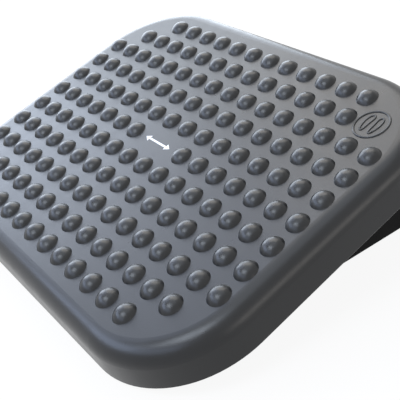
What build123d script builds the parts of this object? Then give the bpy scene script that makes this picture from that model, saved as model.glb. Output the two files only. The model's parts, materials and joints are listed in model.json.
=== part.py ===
from build123d import *
import os
from math import cos, floor, radians, sin, tan

# Ergonomic footrest: a moulded platform with massage bumps that tilts on a floor-standing base.
# Frame: +X to the user's right, user at -Y, +Z up, origin on the floor under the middle of the object.
# All sizes are in millimetres and all angles in degrees.

# Platform moulding
PLATFORM_WIDTH = 445.0      # over the lower edge of the skirt
PLATFORM_DEPTH = 331.0      # over the lower edge of the skirt
CORNER_RADIUS = 90.0        # in plan, at the lower edge of the skirt
SKIRT_HEIGHT = 36.0         # top face to lower edge
SKIRT_DRAFT = 4.6           # the skirt opens downwards
SHOULDER_RADIUS = 16.3      # between top face and skirt
WALL = 3.0                  # skin and skirt
LOWER_EDGE_ROUND = 1.0

# Bump lattice, rows counted from the rear and columns from the left
BUMP_COLUMNS = 16
BUMP_ROWS = 11
BUMP_PITCH = 26.0
BUMP_RADIUS = 9.8
BUMP_HEIGHT = 5.8
CORNER_STEPS = 2            # lattice steps cut off each corner
FLAT_PLACES = ((5, 7), (5, 8), (1, 14))

# Underside of the platform
RIB_DEPTH = 9.0
RIB_THICKNESS = 2.0
RIB_COLUMN_STEP = 2         # a lengthwise rib every so many columns
RIB_ROW_STEP = 2            # a crosswise rib every so many rows
BOSS_RADIUS = 5.5
SCREW_HALF_ROWS = (-3, -1, 1, 3)        # bracket screws, in half lattice rows from the pivot

# Tilt
REST_TILT = 16.5            # front edge down
PIVOT_DROP = 36.0           # top face to pivot axis
FRONT_EDGE_CLEARANCE = 3.0  # front lower edge above the floor at rest

# Base walls
BASE_INSET = 52.0           # platform's lower edge to the wall's outer face
BASE_FRONT_GAP = 22.0       # skirt to the wall's front end
BASE_REAR_GAP = 21.0        # skirt to the wall's rear end
BASE_FRONT_HEIGHT = 26.0
BASE_REAR_HEIGHT = 46.0
SIDE_WALL = 5.0
SIDE_EDGE_ROUND = 1.5
FRONT_CORNER_RADIUS = 12.0
REAR_CORNER_RADIUS = 14.0
SOLE_CORNER_RADIUS = 3.0
SOLE_WIDTH = 26.0           # inward flange that carries the feet and rails
SOLE_THICKNESS = 5.0
SOLE_PLAN_RADIUS = 7.0
PIVOT_BOSS_RADIUS = 18.0
PIVOT_BOSS_DEPTH = 6.0
STOP_BOSS_RADIUS = 6.5
GUSSET_COUNT = 3
GUSSET_THICKNESS = 2.5
GUSSET_HEIGHT = 28.0
GUSSET_LAND = 4.0           # sole left free inside the gusset

# Cross rails
RAIL_WIDTH = 36.0
RAIL_HEIGHT = 20.0
RAIL_WALL = 3.0
RAIL_EDGE_ROUND = 2.5
RAIL_END_INSET = 44.0       # wall end to rail centre
RAIL_RIB_SPACING = 38.0
RAIL_BOSS_RADIUS = 4.6
RAIL_SCREW_SPREAD = 18.0    # between the two screws at one end
RAIL_SCREW_INSET = 14.0     # wall's outer face to screw

# Feet
FOOT_RADIUS = 9.0
FOOT_PROUD = 1.5
FOOT_RECESS = 2.0
FOOT_END_INSET = 14.0
FOOT_STEM_RADIUS = 3.0
FOOT_BARB_RADIUS = 4.2
FOOT_BARB_HEIGHT = 2.0
FOOT_EDGE_ROUND = 0.8

# Hinge brackets
BRACKET_THICKNESS = 3.0
BRACKET_BEND = 2.0          # inside bend radius
BRACKET_EDGE = 8.0          # hole centre to plate edge
CHEEK_RADIUS = 17.0
SLOT_MARGIN = 5.0           # metal around the stop slot

# Pivot hardware
BOLT_RADIUS = 4.0
BOLT_HEAD_RADIUS = 8.0
BOLT_HEAD_HEIGHT = 4.5
BOLT_SOCKET_ACROSS = 5.0
BOLT_SOCKET_DEPTH = 2.5
BOLT_END_PROUD = 1.5
BUSH_WALL = 2.0
BUSH_FLANGE_RADIUS = 10.0
BUSH_FLANGE_THICKNESS = 1.5
FRICTION_WASHER_RADIUS = 15.0
FRICTION_WASHER_THICKNESS = 2.0
FLAT_WASHER_RADIUS = 9.5
FLAT_WASHER_THICKNESS = 1.6
SPRING_WASHER_RADIUS = 9.0
SPRING_WASHER_THICKNESS = 1.2
SPRING_WASHER_CONE = 0.8
NUT_ACROSS = 13.0
HEX_SIDES = 6
NUT_HEX_HEIGHT = 6.5
NUT_COLLAR_RADIUS = 5.8
NUT_COLLAR_HEIGHT = 1.5
STOP_PIN_RADIUS = 3.0
STOP_PIN_ORBIT = 26.0       # pivot axis to stop pin
STOP_PIN_COVER = 2.5        # wall left outside the pin's blind hole
STOP_PIN_PROUD = 1.5
HARDWARE_CHAMFER = 0.5

# Screws
BRACKET_SCREW_RADIUS = 2.5
BRACKET_SCREW_LENGTH = 10.5
BRACKET_SCREW_HEAD_RADIUS = 4.7
BRACKET_SCREW_HEAD_HEIGHT = 3.2
RAIL_SCREW_RADIUS = 2.0
RAIL_SCREW_LENGTH = 15.0    # with its head
RAIL_SCREW_HEAD_RADIUS = 4.0
RAIL_SCREW_HEAD_HEIGHT = 2.2
DRIVE_SLOT_LENGTH_SHARE = 1.1           # of the head radius
DRIVE_SLOT_WIDTH = 0.9
DRIVE_SLOT_DEPTH = 1.2
PILOT_SPARE_DEPTH = 0.5     # hole beyond the screw's tip

# Fits, each a gap on one side
RUNNING_FIT = 0.05          # bolt in bush, and sliding flat faces
SEAT_FIT = 0.05             # pieces pressed together
HOLE_CLEARANCE = 0.25       # bolts and screws in plain holes
PILOT_CLEARANCE = 0.25      # screw shanks in the moulded bosses
RECESS_CLEARANCE = 0.4      # heads and feet in their recesses
SLOT_CLEARANCE = 0.3        # stop pin in its slot
RAIL_END_CLEARANCE = 0.2
CUT_MARGIN = 5.0            # how far a cut runs past the face it opens

# Heights in the level platform's frame, whose origin is on the pivot axis
TOP_Z = PIVOT_DROP
SKIN_Z = TOP_Z - WALL
SEAT_Z = SKIN_Z - RIB_DEPTH
SKIRT_Z = TOP_Z - SKIRT_HEIGHT

# The pivot is as high as the front lower edge needs to clear the floor at rest
PIVOT_HEIGHT = (
    PLATFORM_DEPTH / 2 * sin(radians(REST_TILT))
    - SKIRT_Z * cos(radians(REST_TILT))
    + FRONT_EDGE_CLEARANCE
)

# Right-hand pivot stack, from the wall's outer face inwards
OUTER_X = PLATFORM_WIDTH / 2 - BASE_INSET
WALL_INNER_X = OUTER_X - SIDE_WALL
BOSS_FACE_X = WALL_INNER_X - PIVOT_BOSS_DEPTH
FRICTION_FACE_X = BOSS_FACE_X - FRICTION_WASHER_THICKNESS
CHEEK_OUTER_X = FRICTION_FACE_X - RUNNING_FIT
CHEEK_INNER_X = CHEEK_OUTER_X - BRACKET_THICKNESS
BUSH_FACE_X = CHEEK_INNER_X - BUSH_FLANGE_THICKNESS
FLAT_WASHER_X = BUSH_FACE_X - RUNNING_FIT
SPRING_WASHER_X = FLAT_WASHER_X - FLAT_WASHER_THICKNESS
NUT_X = SPRING_WASHER_X - SPRING_WASHER_THICKNESS - SPRING_WASHER_CONE
BOLT_END_X = NUT_X - NUT_HEX_HEIGHT - NUT_COLLAR_HEIGHT - BOLT_END_PROUD
BOLT_HEAD_X = OUTER_X - BOLT_HEAD_HEIGHT - HARDWARE_CHAMFER

# Base ends, measured from the pivot and kept inside the skirt over the whole tilt
SKIRT_REACH = PLATFORM_DEPTH / 2 * cos(radians(REST_TILT)) - WALL
BASE_FRONT_Y = -(SKIRT_REACH + SKIRT_Z * sin(radians(REST_TILT)) - BASE_FRONT_GAP)
BASE_REAR_Y = PLATFORM_DEPTH / 2 - WALL - BASE_REAR_GAP
SOLE_TOP_Z = FOOT_PROUD + SOLE_THICKNESS
FRONT_RAIL_Y = BASE_FRONT_Y + RAIL_END_INSET
REAR_RAIL_Y = BASE_REAR_Y - RAIL_END_INSET
FOOT_X = OUTER_X - SOLE_WIDTH / 2
FOOT_YS = (BASE_FRONT_Y + FOOT_END_INSET, BASE_REAR_Y - FOOT_END_INSET)

# Bracket screws sit between bump columns, as close to the cheek as their heads allow
SCREW_REACH = CHEEK_INNER_X - BRACKET_BEND - BRACKET_SCREW_HEAD_RADIUS
SCREW_X = floor(SCREW_REACH / BUMP_PITCH) * BUMP_PITCH
SCREW_YS = [half_row * BUMP_PITCH / 2 for half_row in SCREW_HALF_ROWS]
FLANGE_INNER_X = SCREW_X - BRACKET_EDGE
BRACKET_LENGTH = max(SCREW_YS) - min(SCREW_YS) + 2 * BRACKET_EDGE
STOP_PIN_ANGLE = REST_TILT / 2
SLOT_HALF_WIDTH = STOP_PIN_RADIUS + SLOT_CLEARANCE


def box(x_range, y_range, z_range):
    """Box between the given coordinate pairs."""
    spans = [sorted(span) for span in (x_range, y_range, z_range)]
    sizes = [high - low for low, high in spans]
    centre = [(low + high) / 2 for low, high in spans]
    return Pos(*centre) * Box(*sizes)


def rod_x(x_range, radius, y=0.0, z=0.0):
    """Cylinder along X."""
    low, high = sorted(x_range)
    return Pos((low + high) / 2, y, z) * Rot(Y=90) * Cylinder(radius, high - low)


def rod_z(z_range, radius, x=0.0, y=0.0):
    """Cylinder along Z."""
    low, high = sorted(z_range)
    return Pos(x, y, (low + high) / 2) * Cylinder(radius, high - low)


def ring_x(x_range, outer, inner):
    """Plain ring around the X axis."""
    return rod_x(x_range, outer) - rod_x((min(x_range) - CUT_MARGIN, max(x_range) + CUT_MARGIN), inner)


def joined(pieces):
    """One solid from many overlapping ones."""
    first, *rest = pieces
    return first.fuse(*rest)


def slab_x(outline, x_range):
    """A YZ outline made solid between two X planes."""
    low, high = sorted(x_range)
    return extrude(Plane.YZ.offset(low) * outline, high - low)


def hull_of_circles(circles):
    """Convex outline around (u, v, radius) circles."""
    edges = [edge for u, v, radius in circles for edge in (Pos(u, v) * Circle(radius)).edges()]
    return make_hull(edges)


def bump_places():
    """Centres of the bumps on the platform."""
    places = []
    for row in range(BUMP_ROWS):
        for column in range(BUMP_COLUMNS):
            steps = min(row, BUMP_ROWS - 1 - row) + min(column, BUMP_COLUMNS - 1 - column)
            if steps >= CORNER_STEPS and (row, column) not in FLAT_PLACES:
                x = (column - (BUMP_COLUMNS - 1) / 2) * BUMP_PITCH
                y = ((BUMP_ROWS - 1) / 2 - row) * BUMP_PITCH
                places.append((x, y))
    return places


def tray(inset, below=0.0):
    """Filled outer form of the platform, moved in by inset and carried on below the skirt."""
    slope = tan(radians(SKIRT_DRAFT))
    grow = below * slope - inset / cos(radians(SKIRT_DRAFT))
    outline = RectangleRounded(
        PLATFORM_WIDTH + 2 * grow, PLATFORM_DEPTH + 2 * grow, CORNER_RADIUS + grow
    )
    height = SKIRT_HEIGHT + below - inset
    block = extrude(Plane.XY.offset(SKIRT_Z - below) * outline, height, taper=SKIRT_DRAFT)
    rim = block.faces().sort_by(Axis.Z)[-1].edges()
    return fillet(rim, SHOULDER_RADIUS - inset)


def bump_spheres(inset):
    """Spheres whose caps are the bumps, or the hollows under them."""
    radius = (BUMP_RADIUS**2 + BUMP_HEIGHT**2) / (2 * BUMP_HEIGHT)
    centre_z = TOP_Z + BUMP_HEIGHT - radius
    return [Pos(x, y, centre_z) * Sphere(radius - inset) for x, y in bump_places()]


def platform_ribs():
    """Lengthwise and crosswise ribs between the bumps."""
    half_columns = BUMP_COLUMNS // 2
    half_rows = BUMP_ROWS // 2
    span_x = (-PLATFORM_WIDTH / 2, PLATFORM_WIDTH / 2)
    span_y = (-PLATFORM_DEPTH / 2, PLATFORM_DEPTH / 2)
    span_z = (SEAT_Z, SKIN_Z + WALL / 2)
    half = RIB_THICKNESS / 2
    ribs = []
    for step in range(0, half_columns, RIB_COLUMN_STEP):
        for x in {step * BUMP_PITCH, -step * BUMP_PITCH}:
            ribs.append(box((x - half, x + half), span_y, span_z))
    for step in range(1, half_rows, RIB_ROW_STEP):
        for y in ((step + 0.5) * BUMP_PITCH, -(step + 0.5) * BUMP_PITCH):
            ribs.append(box(span_x, (y - half, y + half), span_z))
    return joined(ribs) & tray(WALL / 2)


def bracket_screw_places():
    """Places of the bracket screws on both sides."""
    return [(side * SCREW_X, y) for side in (-1, 1) for y in SCREW_YS]


def platform():
    """Moulded platform with bumps, hollow bump backs, ribs and screw bosses."""
    outside = tray(0)
    lower_rim = outside.faces().sort_by(Axis.Z)[0].edges()
    outside = fillet(lower_rim, LOWER_EDGE_ROUND)
    outside = outside.fuse(*bump_spheres(0))
    cavity = tray(WALL, CUT_MARGIN).fuse(*bump_spheres(WALL))
    bosses = [
        rod_z((SEAT_Z, SKIN_Z + WALL / 2), BOSS_RADIUS, x, y) for x, y in bracket_screw_places()
    ]
    pilot_top = SEAT_Z - BRACKET_THICKNESS + BRACKET_SCREW_LENGTH + PILOT_SPARE_DEPTH
    pilots = [
        rod_z((SEAT_Z - CUT_MARGIN, pilot_top), BRACKET_SCREW_RADIUS + PILOT_CLEARANCE, x, y)
        for x, y in bracket_screw_places()
    ]
    return (outside - cavity).fuse(platform_ribs(), *bosses).cut(*pilots)


def hinge_bracket():
    """Pressed steel angle: flange under the platform, cheek with pivot hole and stop slot."""
    cheek_low = -CHEEK_RADIUS - CUT_MARGIN
    flange = Polyline(
        (FLANGE_INNER_X, SEAT_Z),
        (CHEEK_OUTER_X, SEAT_Z),
        (CHEEK_OUTER_X, cheek_low),
        (CHEEK_INNER_X, cheek_low),
        (CHEEK_INNER_X, SEAT_Z - BRACKET_THICKNESS),
        (FLANGE_INNER_X, SEAT_Z - BRACKET_THICKNESS),
        close=True,
    )
    section = make_face(flange)
    corners = section.vertices()
    outer_corner = corners.sort_by_distance((CHEEK_OUTER_X, SEAT_Z))[0]
    section = fillet(outer_corner, BRACKET_BEND + BRACKET_THICKNESS)
    inner_corner = section.vertices().sort_by_distance(
        (CHEEK_INNER_X, SEAT_Z - BRACKET_THICKNESS)
    )[0]
    section = fillet(inner_corner, BRACKET_BEND)
    angle = extrude(Plane.XZ * section, BRACKET_LENGTH / 2, both=True)

    slot_ends = [
        (STOP_PIN_ORBIT * cos(radians(a)), STOP_PIN_ORBIT * sin(radians(a)))
        for a in (-STOP_PIN_ANGLE, STOP_PIN_ANGLE)
    ]
    lobes = [(y, z, SLOT_HALF_WIDTH + SLOT_MARGIN) for y, z in slot_ends]
    shoulder_z = SEAT_Z - BRACKET_EDGE
    corner_y = BRACKET_LENGTH / 2 - BRACKET_EDGE
    shoulders = [(y, shoulder_z, BRACKET_EDGE) for y in (-corner_y, corner_y)]
    cheek_outline = hull_of_circles([(0, 0, CHEEK_RADIUS)] + lobes + shoulders)
    flange_zone = box(
        (FLANGE_INNER_X, CHEEK_OUTER_X),
        (-BRACKET_LENGTH / 2, BRACKET_LENGTH / 2),
        (SEAT_Z - BRACKET_EDGE, SEAT_Z),
    )
    cheek_zone = slab_x(cheek_outline, (FLANGE_INNER_X, CHEEK_OUTER_X))
    bracket = angle & (flange_zone + cheek_zone)

    through = (CHEEK_INNER_X - CUT_MARGIN, CHEEK_OUTER_X + CUT_MARGIN)
    slot_path = CenterArc((0, 0), STOP_PIN_ORBIT, -STOP_PIN_ANGLE, 2 * STOP_PIN_ANGLE)
    slot = slab_x(SlotArc(slot_path, 2 * SLOT_HALF_WIDTH), through)
    holes = [
        rod_z(
            (SEAT_Z - BRACKET_THICKNESS - CUT_MARGIN, SEAT_Z + CUT_MARGIN),
            BRACKET_SCREW_RADIUS + HOLE_CLEARANCE, SCREW_X, y,
        )
        for y in SCREW_YS
    ]
    pivot_hole = rod_x(through, BOLT_RADIUS + RUNNING_FIT + BUSH_WALL + SEAT_FIT)
    return bracket.cut(slot, pivot_hole, *holes)


def drive_slots(head_radius, z, direction):
    """Cross recess in a screw head whose face is at z, cut along direction."""
    half_length = head_radius * DRIVE_SLOT_LENGTH_SHARE / 2
    half_width = DRIVE_SLOT_WIDTH / 2
    span_z = (z + direction * DRIVE_SLOT_DEPTH, z - direction * CUT_MARGIN)
    along = box((-half_length, half_length), (-half_width, half_width), span_z)
    across = box((-half_width, half_width), (-half_length, half_length), span_z)
    return along + across


def bracket_screw():
    """Pan-head screw pointing up, its head under the bracket flange."""
    seat = SEAT_Z - BRACKET_THICKNESS
    head = rod_z((seat - BRACKET_SCREW_HEAD_HEIGHT, seat), BRACKET_SCREW_HEAD_RADIUS)
    head = fillet(head.edges().sort_by(Axis.Z)[0], BRACKET_SCREW_HEAD_HEIGHT / 2)
    shank = rod_z((seat, seat + BRACKET_SCREW_LENGTH), BRACKET_SCREW_RADIUS)
    shank = chamfer(shank.edges().sort_by(Axis.Z)[-1], HARDWARE_CHAMFER)
    slots = drive_slots(BRACKET_SCREW_HEAD_RADIUS, seat - BRACKET_SCREW_HEAD_HEIGHT, 1)
    return head + shank - slots


def bracket_screws():
    """All bracket screws, as separate solids."""
    screw = bracket_screw()
    return [Pos(x, y, 0) * screw for x, y in bracket_screw_places()]


def pivot_bush():
    """Flanged bush pressed into the bracket cheek."""
    bore = BOLT_RADIUS + RUNNING_FIT
    sleeve = rod_x((CHEEK_INNER_X, CHEEK_OUTER_X), bore + BUSH_WALL)
    flange = rod_x((BUSH_FACE_X, CHEEK_INNER_X), BUSH_FLANGE_RADIUS)
    return sleeve + flange - rod_x((BUSH_FACE_X - CUT_MARGIN, CHEEK_OUTER_X + CUT_MARGIN), bore)


def pivot_bolt():
    """Socket-head bolt on the tilt axis, head sunk in the base wall."""
    head = rod_x((BOLT_HEAD_X, BOLT_HEAD_X + BOLT_HEAD_HEIGHT), BOLT_HEAD_RADIUS)
    head = chamfer(head.edges().sort_by(Axis.X)[-1], 2 * HARDWARE_CHAMFER)
    shank = rod_x((BOLT_END_X, BOLT_HEAD_X), BOLT_RADIUS)
    shank = chamfer(shank.edges().sort_by(Axis.X)[0], HARDWARE_CHAMFER)
    socket_outline = RegularPolygon(BOLT_SOCKET_ACROSS / 2, HEX_SIDES, major_radius=False)
    head_face = BOLT_HEAD_X + BOLT_HEAD_HEIGHT
    socket = slab_x(socket_outline, (head_face - BOLT_SOCKET_DEPTH, head_face + CUT_MARGIN))
    return head + shank - socket


def friction_washer():
    """Fibre washer between base wall and bracket."""
    return ring_x((FRICTION_FACE_X, BOSS_FACE_X), FRICTION_WASHER_RADIUS, BOLT_RADIUS + HOLE_CLEARANCE)


def flat_washer():
    """Steel washer against the bush flange."""
    return ring_x((SPRING_WASHER_X, FLAT_WASHER_X), FLAT_WASHER_RADIUS, BOLT_RADIUS + HOLE_CLEARANCE)


def spring_washer():
    """Disc spring, its outer rim on the flat washer and its inner rim on the nut."""
    bore = BOLT_RADIUS + HOLE_CLEARANCE
    profile = Polyline(
        (NUT_X, bore),
        (NUT_X + SPRING_WASHER_THICKNESS, bore),
        (SPRING_WASHER_X, SPRING_WASHER_RADIUS),
        (NUT_X + SPRING_WASHER_CONE, SPRING_WASHER_RADIUS),
        close=True,
    )
    return revolve(make_face(profile), Axis.X)


def lock_nut():
    """Hexagon nut with a round locking collar."""
    hex_end = NUT_X - NUT_HEX_HEIGHT
    hexagon = slab_x(RegularPolygon(NUT_ACROSS / 2, HEX_SIDES, major_radius=False), (hex_end, NUT_X))
    collar = rod_x((hex_end - NUT_COLLAR_HEIGHT, hex_end), NUT_COLLAR_RADIUS)
    collar = chamfer(collar.edges().sort_by(Axis.X)[0], HARDWARE_CHAMFER)
    bore = rod_x((BOLT_END_X - CUT_MARGIN, NUT_X + CUT_MARGIN), BOLT_RADIUS + SEAT_FIT)
    return hexagon + collar - bore


def stop_pin_place():
    """Y and Z of the stop pin from the pivot axis."""
    angle = radians(STOP_PIN_ANGLE)
    return STOP_PIN_ORBIT * cos(angle), STOP_PIN_ORBIT * sin(angle)


def stop_pin():
    """Dowel in the base wall that runs in the bracket's slot."""
    y, z = stop_pin_place()
    pin = rod_x((CHEEK_INNER_X - STOP_PIN_PROUD, OUTER_X - STOP_PIN_COVER), STOP_PIN_RADIUS, y, z)
    return chamfer(pin.edges().filter_by(GeomType.CIRCLE), HARDWARE_CHAMFER)


def wall_outline():
    """Side view of a base wall, from its sole to the rounded head round the pivot."""
    corners = [
        (BASE_FRONT_Y, FOOT_PROUD, SOLE_CORNER_RADIUS, 1, 1),
        (BASE_FRONT_Y, BASE_FRONT_HEIGHT, FRONT_CORNER_RADIUS, 1, -1),
        (BASE_REAR_Y, BASE_REAR_HEIGHT, REAR_CORNER_RADIUS, -1, -1),
        (BASE_REAR_Y, FOOT_PROUD, SOLE_CORNER_RADIUS, -1, 1),
    ]
    circles = [(y + dy * r, z + dz * r, r) for y, z, r, dy, dz in corners]
    return hull_of_circles(circles + [(0, PIVOT_HEIGHT, PIVOT_BOSS_RADIUS)])


def gusset(y):
    """Triangular web between wall and sole."""
    inner_x = OUTER_X - SOLE_WIDTH + GUSSET_LAND
    web = Polyline(
        (WALL_INNER_X + SIDE_WALL / 2, SOLE_TOP_Z - SOLE_THICKNESS / 2),
        (inner_x, SOLE_TOP_Z - SOLE_THICKNESS / 2),
        (inner_x, SOLE_TOP_Z),
        (WALL_INNER_X, SOLE_TOP_Z + GUSSET_HEIGHT),
        (WALL_INNER_X + SIDE_WALL / 2, SOLE_TOP_Z + GUSSET_HEIGHT),
        close=True,
    )
    plate = extrude(Plane.XZ * make_face(web), GUSSET_THICKNESS / 2, both=True)
    return Pos(0, y, 0) * plate


def gusset_places():
    """Even spacing of the gussets between the two rails."""
    first = FRONT_RAIL_Y + RAIL_WIDTH / 2
    pitch = (REAR_RAIL_Y - FRONT_RAIL_Y - RAIL_WIDTH) / (GUSSET_COUNT + 1)
    return [first + pitch * (i + 1) for i in range(GUSSET_COUNT)]


def rail_screw_places():
    """Places of the right-hand rail screws."""
    x = OUTER_X - RAIL_SCREW_INSET
    return [
        (x, rail_y + side * RAIL_SCREW_SPREAD / 2)
        for rail_y in (FRONT_RAIL_Y, REAR_RAIL_Y)
        for side in (-1, 1)
    ]


def countersink(x, y, clearance):
    """Cone of a rail screw's head, from the underside of the sole."""
    top = FOOT_PROUD + RAIL_SCREW_HEAD_HEIGHT
    cone = Cone(
        RAIL_SCREW_HEAD_RADIUS + clearance, RAIL_SCREW_RADIUS + clearance, RAIL_SCREW_HEAD_HEIGHT
    )
    return Pos(x, y, (FOOT_PROUD + top) / 2) * cone


def base_side():
    """Right-hand base wall with sole, pivot boss, stop boss and gussets."""
    wall = slab_x(wall_outline(), (WALL_INNER_X, OUTER_X))
    wall = fillet(wall.faces().sort_by(Axis.X)[-1].edges(), SIDE_EDGE_ROUND)
    sole = box(
        (OUTER_X - SOLE_WIDTH, WALL_INNER_X + SIDE_WALL / 2),
        (BASE_FRONT_Y + SOLE_CORNER_RADIUS, BASE_REAR_Y - SOLE_CORNER_RADIUS),
        (FOOT_PROUD, SOLE_TOP_Z),
    )
    inner_corners = sole.edges().filter_by(Axis.Z).sort_by(Axis.X)[:2]
    sole = fillet(inner_corners, SOLE_PLAN_RADIUS)
    inside = (BOSS_FACE_X, WALL_INNER_X + SIDE_WALL / 2)
    pivot_boss = rod_x(inside, PIVOT_BOSS_RADIUS, 0, PIVOT_HEIGHT)
    boss_leg = box(
        inside,
        (-PIVOT_BOSS_RADIUS / 2, PIVOT_BOSS_RADIUS / 2),
        (SOLE_TOP_Z - SOLE_THICKNESS / 2, PIVOT_HEIGHT),
    )
    pin_y, pin_z = stop_pin_place()
    stop_boss = rod_x(inside, STOP_BOSS_RADIUS, pin_y, PIVOT_HEIGHT + pin_z)
    gussets = [gusset(y) for y in gusset_places()]
    body = wall.fuse(sole, pivot_boss, boss_leg, stop_boss, *gussets)

    through = (BOSS_FACE_X - CUT_MARGIN, OUTER_X + CUT_MARGIN)
    cuts = [
        rod_x(through, BOLT_RADIUS + HOLE_CLEARANCE, 0, PIVOT_HEIGHT),
        rod_x((BOLT_HEAD_X, OUTER_X + CUT_MARGIN), BOLT_HEAD_RADIUS + RECESS_CLEARANCE, 0, PIVOT_HEIGHT),
        rod_x(
            (BOSS_FACE_X - CUT_MARGIN, OUTER_X - STOP_PIN_COVER),
            STOP_PIN_RADIUS + SEAT_FIT, pin_y, PIVOT_HEIGHT + pin_z,
        ),
    ]
    for y in FOOT_YS:
        recess = (FOOT_PROUD - CUT_MARGIN, FOOT_PROUD + FOOT_RECESS)
        cuts.append(rod_z(recess, FOOT_RADIUS + RECESS_CLEARANCE, FOOT_X, y))
        stem = (FOOT_PROUD, SOLE_TOP_Z + CUT_MARGIN)
        cuts.append(rod_z(stem, FOOT_STEM_RADIUS + SEAT_FIT, FOOT_X, y))
    for x, y in rail_screw_places():
        hole = (FOOT_PROUD - CUT_MARGIN, SOLE_TOP_Z + CUT_MARGIN)
        cuts.append(rod_z(hole, RAIL_SCREW_RADIUS + HOLE_CLEARANCE, x, y))
        cuts.append(countersink(x, y, HOLE_CLEARANCE))
    return body.cut(*cuts)


def cross_rail(y):
    """Channel rail, open below, with cross ribs and screw bosses."""
    half_length = WALL_INNER_X - RAIL_END_CLEARANCE
    half_width = RAIL_WIDTH / 2
    top_z = SOLE_TOP_Z + RAIL_HEIGHT
    outside = box((-half_length, half_length), (y - half_width, y + half_width), (SOLE_TOP_Z, top_z))
    long_top_edges = outside.edges().filter_by(Axis.X).group_by(Axis.Z)[-1]
    outside = fillet(long_top_edges, RAIL_EDGE_ROUND)
    hollow = box(
        (-half_length + RAIL_WALL, half_length - RAIL_WALL),
        (y - half_width + RAIL_WALL, y + half_width - RAIL_WALL),
        (SOLE_TOP_Z - CUT_MARGIN, top_z - RAIL_WALL),
    )
    rib_ends = OUTER_X - SOLE_WIDTH - RAIL_WALL
    gaps = floor(2 * rib_ends / RAIL_RIB_SPACING)
    inner_width = (y - half_width + RAIL_WALL / 2, y + half_width - RAIL_WALL / 2)
    ribs = []
    for i in range(gaps + 1):
        x = -rib_ends + 2 * rib_ends * i / gaps
        span_z = (SOLE_TOP_Z + RAIL_WALL, top_z - RAIL_WALL / 2)
        ribs.append(box((x - RAIL_WALL / 2, x + RAIL_WALL / 2), inner_width, span_z))
    places = [(side * (OUTER_X - RAIL_SCREW_INSET), y + end * RAIL_SCREW_SPREAD / 2)
              for side in (-1, 1) for end in (-1, 1)]
    bosses = [rod_z((SOLE_TOP_Z, top_z - RAIL_WALL / 2), RAIL_BOSS_RADIUS, *place) for place in places]
    pilot_top = FOOT_PROUD + RAIL_SCREW_LENGTH + PILOT_SPARE_DEPTH
    pilots = [
        rod_z((SOLE_TOP_Z - CUT_MARGIN, pilot_top), RAIL_SCREW_RADIUS + PILOT_CLEARANCE, *place)
        for place in places
    ]
    return (outside - hollow).fuse(*ribs, *bosses).cut(*pilots)


def rail_screw(x, y):
    """Countersunk screw pointing up through the sole into a rail boss."""
    shank = rod_z((FOOT_PROUD, FOOT_PROUD + RAIL_SCREW_LENGTH), RAIL_SCREW_RADIUS)
    shank = chamfer(shank.edges().sort_by(Axis.Z)[-1], HARDWARE_CHAMFER)
    screw = shank + countersink(0, 0, 0) - drive_slots(RAIL_SCREW_HEAD_RADIUS, FOOT_PROUD, 1)
    return Pos(x, y, 0) * screw


def cross_rail_screws():
    """All rail screws, as separate solids."""
    places = [(side * x, y) for side in (-1, 1) for x, y in rail_screw_places()]
    return [rail_screw(x, y) for x, y in places]


def foot(x, y):
    """Rubber pad with a push-in stem."""
    pad = rod_z((0, FOOT_PROUD + FOOT_RECESS), FOOT_RADIUS)
    pad = fillet(pad.edges().sort_by(Axis.Z)[0], FOOT_EDGE_ROUND)
    stem = rod_z((FOOT_PROUD, SOLE_TOP_Z), FOOT_STEM_RADIUS)
    barb = rod_z((SOLE_TOP_Z, SOLE_TOP_Z + FOOT_BARB_HEIGHT), FOOT_BARB_RADIUS)
    barb = chamfer(barb.edges().sort_by(Axis.Z)[-1], FOOT_BARB_HEIGHT / 2)
    return Pos(x, y, 0) * (pad + stem + barb)


def tilted(piece):
    """A piece of the level platform, turned to the rest tilt and lifted onto the pivot."""
    return Pos(0, 0, PIVOT_HEIGHT) * Rot(X=REST_TILT) * piece


def lifted(piece):
    """A piece of the pivot stack that stays with the base."""
    return Pos(0, 0, PIVOT_HEIGHT) * piece


def group(pieces, place):
    """Separate solids of one node, each moved to its place."""
    return Compound([place * piece.solid() for piece in pieces])


def assembly():
    """Solids of every node of the footrest, with the pivot axis above Y zero."""
    nodes = {
        "platform": [tilted(platform())],
        "bracket_screws": [tilted(screw) for screw in bracket_screws()],
        "front_cross_rail": [cross_rail(FRONT_RAIL_Y)],
        "rear_cross_rail": [cross_rail(REAR_RAIL_Y)],
        "cross_rail_screws": cross_rail_screws(),
    }
    right_hand = {
        "hinge_bracket": tilted(hinge_bracket()),
        "pivot_bush": tilted(pivot_bush()),
        "base_side": base_side(),
        "pivot_bolt": lifted(pivot_bolt()),
        "friction_washer": lifted(friction_washer()),
        "flat_washer": lifted(flat_washer()),
        "spring_washer": lifted(spring_washer()),
        "lock_nut": lifted(lock_nut()),
        "stop_pin": lifted(stop_pin()),
    }
    for name, piece in right_hand.items():
        nodes["right_" + name] = [piece]
        nodes["left_" + name] = [mirror(piece, about=Plane.YZ)]
    for end, y in zip(("front", "rear"), FOOT_YS):
        nodes[end + "_right_foot"] = [foot(FOOT_X, y)]
        nodes[end + "_left_foot"] = [foot(-FOOT_X, y)]
    return nodes


def main():
    """Centre the assembly over the origin and write one file per node."""
    nodes = assembly()
    extent = nodes["platform"][0].bounding_box()
    shift = Pos(0, -(extent.min.Y + extent.max.Y) / 2, 0)
    os.makedirs("parts", exist_ok=True)
    for name, pieces in nodes.items():
        export_step(group(pieces, shift), f"parts/{name}.step")
    print("bumps", len(bump_places()))
    print("pivot axis y, z", shift.position.Y, PIVOT_HEIGHT)


main()
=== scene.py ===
import json
import math

import bmesh
import bpy
from mathutils import Matrix, Vector


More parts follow.
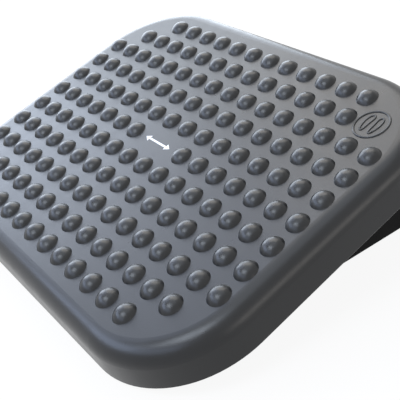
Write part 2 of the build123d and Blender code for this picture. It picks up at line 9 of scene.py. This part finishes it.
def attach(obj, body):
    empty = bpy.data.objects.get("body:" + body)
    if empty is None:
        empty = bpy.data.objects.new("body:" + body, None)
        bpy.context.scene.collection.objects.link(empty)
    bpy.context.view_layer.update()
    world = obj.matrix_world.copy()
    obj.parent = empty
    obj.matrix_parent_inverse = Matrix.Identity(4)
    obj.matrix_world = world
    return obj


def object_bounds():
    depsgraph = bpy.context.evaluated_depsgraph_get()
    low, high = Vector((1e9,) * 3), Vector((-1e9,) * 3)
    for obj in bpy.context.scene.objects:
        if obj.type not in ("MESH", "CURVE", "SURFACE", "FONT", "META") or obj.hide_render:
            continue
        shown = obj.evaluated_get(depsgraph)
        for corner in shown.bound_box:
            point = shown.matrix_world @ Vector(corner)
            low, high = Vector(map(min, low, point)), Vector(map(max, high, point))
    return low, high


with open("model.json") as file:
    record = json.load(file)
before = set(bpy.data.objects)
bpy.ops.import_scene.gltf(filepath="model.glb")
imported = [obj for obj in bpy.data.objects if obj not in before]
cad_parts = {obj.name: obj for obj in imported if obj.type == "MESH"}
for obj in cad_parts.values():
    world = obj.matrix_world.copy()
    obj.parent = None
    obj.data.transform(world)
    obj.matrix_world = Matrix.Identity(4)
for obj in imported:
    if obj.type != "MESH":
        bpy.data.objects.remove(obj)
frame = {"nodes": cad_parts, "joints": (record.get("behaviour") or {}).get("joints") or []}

CAD_LOW, CAD_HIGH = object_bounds()
NODES = frame["nodes"]

# Platform, in metres
PIVOT = Vector(frame["joints"][0]["pos_m"])
REST_TILT = math.radians(16.5)
TILT = Matrix.Rotation(REST_TILT, 3, "X")
TOP_ABOVE_PIVOT = 0.036
BUMP_PITCH = 0.026
BUMP_HEIGHT = 0.0058
POLISH_START = 0.6          # share of a bump's height where the polish from feet begins
POLISH_DEPTH = 0.03         # how much smoother the bumps' crowns are

# Raised emblem, each ridge with its width and height
EMBLEM_PLACE = (6.55, 4.1)  # bump pitches right of and behind the platform's middle
RING_RADIUS = 0.0152
RING_RIDGE = (0.0021, 0.0009)
SOLE_OFFSET = 0.0051
SOLE_HALF_LENGTH = 0.0092
SOLE_HALF_WIDTH = 0.0031
SOLE_RIDGE = (0.0016, 0.0008)
RIDGE_SINK = 0.0001         # how far a ridge's foot lies below the top face
RIDGE_STEPS = 8

# Printed double arrow
ARROW_HALF_LENGTH = 0.0195
ARROW_HEAD_LENGTH = 0.0062
ARROW_HEAD_HALF = 0.0034
ARROW_SHAFT_HALF = 0.0010
PRINT_SINK = 0.00002
PRINT_RISE = 0.00006

# Camera, fitted to the photograph's bump lattice and outline, in the level platform's directions
CAMERA_PLACE = Vector((22.8879, -7.0790, 15.2554)) * BUMP_PITCH + Vector((0, 0, TOP_ABOVE_PIVOT))
CAMERA_RIGHT = Vector((0.6300, 0.7028, -0.3303))
CAMERA_UP = Vector((-0.3290, 0.6269, 0.7062))
FOCAL_PIXELS = 816.4
CENTRE_PIXELS = (86.0, 22.7)    # optical centre right of and above the middle of the cropped photograph
IMAGE_PIXELS = 400.0
SENSOR = 36.0

# Floor and surroundings
WHITE = (1.0, 1.0, 1.0, 1.0)
FLOOR_SIZE = 30.0
FLOOR_GLOW = 0.92                       # the floor's own white, for the camera and for reflections
FLOOR_SHADE = (0.07, 0.07, 0.07, 1.0)   # added to it, takes the lamps' light and the shadow
FLOOR_BOUNCE = (0.20, 0.20, 0.20, 1.0)  # the floor as matt surfaces see it
WORLD_LIGHT = 0.3                       # the surroundings as matt surfaces see them

# Softboxes: azimuth from +X towards +Y, elevation, width, height, radiance, colour
LAMP_DISTANCE = 1.5
NEUTRAL = (1.04, 1.0, 0.95)
COOL = (0.88, 0.985, 1.13)
COLD = (0.76, 0.93, 1.30)
SOFTBOXES = {
    "left": (163.0, 18.0, 1.50, 1.08, 3.5, COOL),
    "far_left": (190.0, 22.0, 0.80, 0.80, 1.5, COLD),
    "left_front": (236.0, 28.0, 1.16, 0.54, 3.5, COLD),
    "left_middle": (175.0, 42.0, 1.00, 0.50, 0.65, NEUTRAL),
    "left_rear_high": (135.0, 55.0, 1.10, 0.85, 2.9, NEUTRAL),
    "left_high": (195.0, 52.0, 1.10, 0.70, 1.5, COLD),
    "front_low": (281.0, 26.0, 1.10, 0.50, 1.75, COLD),
    "front_high": (283.0, 55.0, 0.80, 0.60, 6.2, COOL),
    "right": (13.0, 11.0, 1.20, 0.42, 1.8, NEUTRAL),
    "top": (0.0, 88.0, 1.20, 1.20, 1.0, COOL),
}


def make_camera():
    """Camera at the photograph's viewpoint."""
    data = bpy.data.cameras.new("camera")
    data.sensor_width = SENSOR
    data.lens = FOCAL_PIXELS / IMAGE_PIXELS * SENSOR
    data.shift_x = -CENTRE_PIXELS[0] / IMAGE_PIXELS
    data.shift_y = -CENTRE_PIXELS[1] / IMAGE_PIXELS
    data.clip_start = 0.01
    data.clip_end = 100.0
    camera = bpy.data.objects.new("camera", data)
    bpy.context.scene.collection.objects.link(camera)
    right = (TILT @ CAMERA_RIGHT).normalized()
    up = TILT @ CAMERA_UP
    back = right.cross(up).normalized()
    up = back.cross(right)
    turn = Matrix((right, up, back)).transposed()
    camera.matrix_world = Matrix.Translation(PIVOT + TILT @ CAMERA_PLACE) @ turn.to_4x4()
    bpy.context.scene.camera = camera


class Nodes:
    """Small helper that adds and links shader nodes."""

    def __init__(self, tree):
        self.tree = tree
        tree.nodes.clear()

    def add(self, kind, inputs=None, **settings):
        """New node with its settings and inputs, each a value or a socket."""
        node = self.tree.nodes.new(kind)
        for name, value in settings.items():
            setattr(node, name, value)
        for name, value in (inputs or {}).items():
            self.put(node, name, value)
        return node

    def put(self, node, name, value):
        """Set one input to a value or link it to a socket."""
        if isinstance(value, bpy.types.NodeSocket):
            self.tree.links.new(value, node.inputs[name])
        else:
            node.inputs[name].default_value = value

    def combine(self, operation, first, second):
        """Two values or sockets joined by a math operation."""
        return self.add("ShaderNodeMath", {0: first, 1: second}, operation=operation).outputs[0]

    def finish(self, shader, kind="ShaderNodeOutputMaterial"):
        """Output that shows a shader."""
        self.add(kind, {"Surface": shader.outputs[0]})


def new_material(name):
    """Empty node material and its helper."""
    material = bpy.data.materials.new(name)
    material.use_nodes = True
    return material, Nodes(material.node_tree)


def own_coords(nodes):
    """Coordinates that stay with the object."""
    return nodes.add("ShaderNodeTexCoord").outputs["Object"]


def noise(nodes, coords, scale, detail=3.0, roughness=0.5):
    """Noise value at a scale in features per metre."""
    made = nodes.add("ShaderNodeTexNoise", {
        "Vector": coords, "Scale": scale, "Detail": detail, "Roughness": roughness,
    })
    return made.outputs["Fac"]


def stretch(nodes, coords, scales):
    """Coordinates scaled by axis."""
    return nodes.add("ShaderNodeMapping", {"Vector": coords, "Scale": scales}).outputs[0]


def spread(nodes, value, low, high, from_low=0.3, from_high=0.7):
    """Value mapped to a new range, by default from a noise's usual one."""
    made = nodes.add("ShaderNodeMapRange", {
        "Value": value, "From Min": from_low, "From Max": from_high, "To Min": low, "To Max": high,
    })
    return made.outputs["Result"]


def tint(nodes, factor, dark, light):
    """Colour between two tones, each a tone or a socket."""
    made = nodes.add("ShaderNodeMix", data_type="RGBA")
    nodes.put(made, 0, factor)
    for place, tone in ((6, dark), (7, light)):
        nodes.put(made, place, tone if isinstance(tone, bpy.types.NodeSocket) else (*tone, 1.0))
    return made.outputs[2]


def relief(nodes, height, depth, strength):
    """Normal with a fine relief."""
    made = nodes.add("ShaderNodeBump", {"Height": height, "Distance": depth, "Strength": strength})
    return made.outputs["Normal"]


def edge_mask(nodes, radius):
    """One near sharp edges, nought on flat and gently curved faces."""
    bevel = nodes.add("ShaderNodeBevel", {"Radius": radius}, samples=4)
    normal = nodes.add("ShaderNodeNewGeometry").outputs["Normal"]
    turned = nodes.add("ShaderNodeVectorMath", {0: bevel.outputs[0], 1: normal}, operation="DOT_PRODUCT")
    return spread(nodes, turned.outputs["Value"], 1.0, 0.0, from_low=0.82, from_high=0.995)


def dome_tops(nodes, coords):
    """One on the crowns of the platform's bumps, where feet polish them."""
    from_pivot = nodes.add("ShaderNodeVectorMath", {0: coords, 1: tuple(PIVOT)}, operation="SUBTRACT")
    level = nodes.add("ShaderNodeVectorRotate", {
        "Vector": from_pivot.outputs[0], "Angle": -REST_TILT,
    }, rotation_type="X_AXIS")
    height = nodes.add("ShaderNodeSeparateXYZ", {"Vector": level.outputs[0]}).outputs["Z"]
    start = TOP_ABOVE_PIVOT + POLISH_START * BUMP_HEIGHT
    return spread(nodes, height, 0.0, 1.0, from_low=start, from_high=TOP_ABOVE_PIVOT + BUMP_HEIGHT)


def moulded(name, dark, light, worn, roughness, grain, grain_depth, domed=False, shine=0.5):
    """Moulded plastic or rubber: eroded grain, faint flow marks, scuffs and rubbed edges."""
    material, nodes = new_material(name)
    coords = own_coords(nodes)
    cloud = noise(nodes, coords, scale=11.0, detail=4.0)
    speckle = noise(nodes, coords, scale=grain, detail=2.0)
    scuff = noise(nodes, coords, scale=70.0, detail=6.0, roughness=0.65)
    colour = tint(nodes, spread(nodes, cloud, 0.0, 1.0), dark, light)
    rubbed = nodes.combine("MULTIPLY", edge_mask(nodes, radius=0.0008), spread(nodes, scuff, 0.0, 0.7))
    colour = tint(nodes, rubbed, colour, worn)
    rough = spread(nodes, scuff, *roughness)
    if domed:
        polish = nodes.combine("MULTIPLY", dome_tops(nodes, coords), POLISH_DEPTH)
        rough = nodes.combine("SUBTRACT", rough, polish)
    nodes.finish(nodes.add("ShaderNodeBsdfPrincipled", {
        "Base Color": colour, "Roughness": rough, "IOR": 1.5, "Specular IOR Level": shine,
        "Normal": relief(nodes, speckle, grain_depth, strength=0.2),
    }))
    return material


def plated_steel(name, dark, light, bright, roughness, lines, line_depth):
    """Zinc-plated steel: cloudy passivation, fine working lines and bright rubbed edges."""
    material, nodes = new_material(name)
    coords = own_coords(nodes)
    cells = nodes.add("ShaderNodeTexVoronoi", {"Vector": coords, "Scale": 260.0})
    cloud = noise(nodes, coords, scale=45.0, detail=5.0, roughness=0.6)
    mixed = nodes.combine("MULTIPLY", spread(nodes, cloud, 0.0, 1.0), cells.outputs["Color"])
    colour = tint(nodes, mixed, dark, light)
    rubbed = nodes.combine("MULTIPLY", edge_mask(nodes, radius=0.0005), spread(nodes, cloud, 0.3, 1.0))
    colour = tint(nodes, rubbed, colour, bright)
    streak = noise(nodes, stretch(nodes, coords, lines), scale=1.0)
    nodes.finish(nodes.add("ShaderNodeBsdfPrincipled", {
        "Base Color": colour, "Metallic": 1.0, "Roughness": spread(nodes, cloud, *roughness),
        "Normal": relief(nodes, streak, line_depth, strength=0.5),
    }))
    return material


def pressed_fibre(name, dark, light, worn):
    """Vulcanised fibre with a felted, speckled face."""
    material, nodes = new_material(name)
    coords = own_coords(nodes)
    strands = noise(nodes, stretch(nodes, coords, (400.0, 2600.0, 500.0)), scale=1.0, detail=4.0, roughness=0.7)
    fleck = noise(nodes, coords, scale=1500.0)
    colour = tint(nodes, spread(nodes, strands, 0.0, 1.0), dark, light)
    colour = tint(nodes, spread(nodes, fleck, 0.0, 0.6, from_low=0.58, from_high=0.75), colour, worn)
    nodes.finish(nodes.add("ShaderNodeBsdfPrincipled", {
        "Base Color": colour, "Roughness": spread(nodes, fleck, 0.6, 0.85),
        "Normal": relief(nodes, strands, 0.0002, strength=0.5),
    }))
    return material


def dress(material, *names):
    """Give CAD nodes a finish."""
    for name in names:
        mesh = NODES[name].data
        mesh.materials.clear()
        mesh.materials.append(material)


def both_sides(*names):
    """Left-hand and right-hand names."""
    return [side + name for name in names for side in ("left_", "right_")]


def on_platform(x, y, z):
    """Point on the platform at rest, from its middle and its top face."""
    return PIVOT + TILT @ Vector((x, y, z + TOP_ABOVE_PIVOT))


def mount(name, bm, material):
    """Finished mesh that moves with the platform."""
    bmesh.ops.recalc_face_normals(bm, faces=bm.faces)
    mesh = bpy.data.meshes.new(name)
    bm.to_mesh(mesh)
    bm.free()
    mesh.materials.append(material)
    piece = bpy.data.objects.new(name, mesh)
    bpy.context.scene.collection.objects.link(piece)
    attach(piece, "tilting_platform")


def raise_ridge(bm, path, width, height):
    """Half-round moulded ridge along a closed path on the top face."""
    section = [(-width / 2, -RIDGE_SINK)]
    for i in range(RIDGE_STEPS + 1):
        angle = math.pi * (1 - i / RIDGE_STEPS)
        section.append((width / 2 * math.cos(angle), height * math.sin(angle)))
    section.append((width / 2, -RIDGE_SINK))
    count = len(path)
    rings = []
    for i, here in enumerate(path):
        along = (path[(i + 1) % count] - path[i - 1]).normalized()
        across = Vector((along.y, -along.x))
        ring = []
        for out, up in section:
            spot = here + across * out
            ring.append(bm.verts.new(on_platform(spot.x, spot.y, up)))
        rings.append(ring)
    for i in range(count):
        first, second = rings[i], rings[(i + 1) % count]
        for j in range(len(section)):
            k = (j + 1) % len(section)
            face = bm.faces.new((first[j], first[k], second[k], second[j]))
            face.smooth = True


def circle_path(middle, radius, steps=96):
    """Closed round path."""
    turns = [2 * math.pi * i / steps for i in range(steps)]
    return [middle + Vector((radius * math.cos(a), radius * math.sin(a))) for a in turns]


def sole_path(middle, half_length, half_width, side, steps=72):
    """Closed footprint path: broad ball, narrow waist and round heel."""
    path = []
    for i in range(steps):
        a = 2 * math.pi * i / steps
        waist = 1.0 + 0.22 * math.sin(a) + 0.12 * math.cos(2 * a + math.pi)
        bend = 0.12 * half_width * math.cos(math.pi * math.sin(a)) * side
        spot = Vector((half_width * waist * math.cos(a) + bend, half_length * math.sin(a)))
        path.append(middle + spot)
    return path


def make_emblem(material):
    """Plain raised ring with a pair of footprints, on the flat place at the rear right."""
    middle = Vector(EMBLEM_PLACE) * BUMP_PITCH
    bm = bmesh.new()
    raise_ridge(bm, circle_path(middle, RING_RADIUS), *RING_RIDGE)
    for side in (-1, 1):
        sole = middle + Vector((side * SOLE_OFFSET, 0))
        raise_ridge(bm, sole_path(sole, SOLE_HALF_LENGTH, SOLE_HALF_WIDTH, side), *SOLE_RIDGE)
    mount("platform_emblem", bm, material)


def make_arrow(material):
    """Printed double arrow in the middle of the platform."""
    neck = ARROW_HALF_LENGTH - ARROW_HEAD_LENGTH
    half = [
        (neck, -ARROW_SHAFT_HALF), (neck, -ARROW_HEAD_HALF), (ARROW_HALF_LENGTH, 0.0),
        (neck, ARROW_HEAD_HALF), (neck, ARROW_SHAFT_HALF),
    ]
    outline = half + [(-x, -y) for x, y in half]
    bm = bmesh.new()
    under = [bm.verts.new(on_platform(x, y, -PRINT_SINK)) for x, y in outline]
    upper = [bm.verts.new(on_platform(x, y, PRINT_RISE)) for x, y in outline]
    count = len(outline)
    for i in range(count):
        j = (i + 1) % count
        bm.faces.new((under[i], under[j], upper[j], upper[i]))
    bm.faces.new(upper)
    bm.faces.new(under)
    mount("platform_arrow_print", bm, material)


def seen_directly(nodes):
    """One for the camera, in reflections and through glass, nought for the light that matt surfaces gather."""
    path = nodes.add("ShaderNodeLightPath")
    direct = nodes.combine("MAXIMUM", path.outputs["Is Camera Ray"], path.outputs["Is Glossy Ray"])
    return nodes.combine("MAXIMUM", direct, path.outputs["Is Transmission Ray"])


def make_floor():
    """White studio floor that keeps a soft shadow."""
    bpy.ops.mesh.primitive_plane_add(size=FLOOR_SIZE)
    floor = bpy.context.object
    floor.name = "floor"
    material, nodes = new_material("floor_white")
    bounce = nodes.add("ShaderNodeBsdfDiffuse", {"Color": FLOOR_BOUNCE})
    shade = nodes.add("ShaderNodeBsdfDiffuse", {"Color": FLOOR_SHADE})
    glow = nodes.add("ShaderNodeEmission", {"Color": WHITE, "Strength": FLOOR_GLOW})
    seen = nodes.add("ShaderNodeAddShader", {0: shade.outputs[0], 1: glow.outputs[0]})
    nodes.finish(nodes.add("ShaderNodeMixShader", {
        0: seen_directly(nodes), 1: bounce.outputs[0], 2: seen.outputs[0],
    }))
    floor.data.materials.append(material)


def make_world():
    """White surroundings that give the object only a little light."""
    world = bpy.data.worlds.new("studio")
    bpy.context.scene.world = world
    world.use_nodes = True
    nodes = Nodes(world.node_tree)
    strength = spread(nodes, seen_directly(nodes), WORLD_LIGHT, 1.0, from_low=0.0, from_high=1.0)
    background = nodes.add("ShaderNodeBackground", {"Color": WHITE, "Strength": strength})
    nodes.finish(background, "ShaderNodeOutputWorld")


def soft_box(name, azimuth, elevation, width, height, radiance, colour):
    """Rectangular softbox facing the object."""
    data = bpy.data.lights.new(name, "AREA")
    data.shape = "RECTANGLE"
    data.size = width
    data.size_y = height
    data.energy = radiance * math.pi * width * height
    data.color = colour
    lamp = bpy.data.objects.new(name, data)
    lamp.visible_camera = False
    bpy.context.scene.collection.objects.link(lamp)
    turn, rise = math.radians(azimuth), math.radians(elevation)
    way = Vector((math.cos(turn) * math.cos(rise), math.sin(turn) * math.cos(rise), math.sin(rise)))
    centre = (CAD_LOW + CAD_HIGH) / 2
    lamp.location = centre + way * LAMP_DISTANCE
    lamp.rotation_mode = "QUATERNION"
    lamp.rotation_quaternion = way.to_track_quat("Z", "Y")


make_camera()
make_floor()
make_world()
for lamp_name, settings in SOFTBOXES.items():
    soft_box(lamp_name, *settings)

charcoal = moulded(
    "charcoal_plastic", (0.008, 0.0085, 0.0093), (0.012, 0.0126, 0.0136), (0.05, 0.051, 0.053),
    roughness=(0.27, 0.35), grain=1100.0, grain_depth=0.00015, domed=True, shine=0.43,
)
black = moulded(
    "black_plastic", (0.003, 0.003, 0.0033), (0.006, 0.006, 0.0064), (0.030, 0.030, 0.031),
    roughness=(0.38, 0.52), grain=2200.0, grain_depth=0.0001, shine=0.06,
)
rubber = moulded(
    "foot_rubber", (0.014, 0.014, 0.014), (0.022, 0.022, 0.021), (0.045, 0.044, 0.042),
    roughness=(0.72, 0.9), grain=900.0, grain_depth=0.0002,
)
acetal = moulded(
    "bush_acetal", (0.66, 0.64, 0.58), (0.74, 0.72, 0.67), (0.80, 0.79, 0.75),
    roughness=(0.32, 0.44), grain=1500.0, grain_depth=0.00004,
)
ink = moulded(
    "white_ink", (0.72, 0.73, 0.74), (0.86, 0.87, 0.88), (0.60, 0.61, 0.62),
    roughness=(0.40, 0.55), grain=2500.0, grain_depth=0.00003,
)
bracket_zinc = plated_steel(
    "bracket_zinc", (0.46, 0.46, 0.45), (0.63, 0.63, 0.60), (0.78, 0.78, 0.77),
    roughness=(0.28, 0.42), lines=(900.0, 60.0, 900.0), line_depth=0.00004,
)
hardware_zinc = plated_steel(
    "hardware_zinc", (0.50, 0.50, 0.50), (0.68, 0.67, 0.64), (0.82, 0.82, 0.81),
    roughness=(0.2, 0.34), lines=(1800.0, 300.0, 300.0), line_depth=0.00003,
)
fibre = pressed_fibre("friction_fibre", (0.11, 0.036, 0.02), (0.21, 0.075, 0.04), (0.30, 0.15, 0.09))

dress(charcoal, "platform")
dress(black, "front_cross_rail", "rear_cross_rail", *both_sides("base_side"))
dress(bracket_zinc, *both_sides("hinge_bracket"))
dress(hardware_zinc, "bracket_screws", "cross_rail_screws")
dress(hardware_zinc, *both_sides("pivot_bolt", "flat_washer", "spring_washer", "lock_nut", "stop_pin"))
dress(acetal, *both_sides("pivot_bush"))
dress(fibre, *both_sides("friction_washer"))
dress(rubber, *["%s_%s_foot" % (end, side) for end in ("front", "rear") for side in ("left", "right")])
make_emblem(charcoal)
make_arrow(ink)

bpy.context.scene.view_settings.view_transform = "Standard"
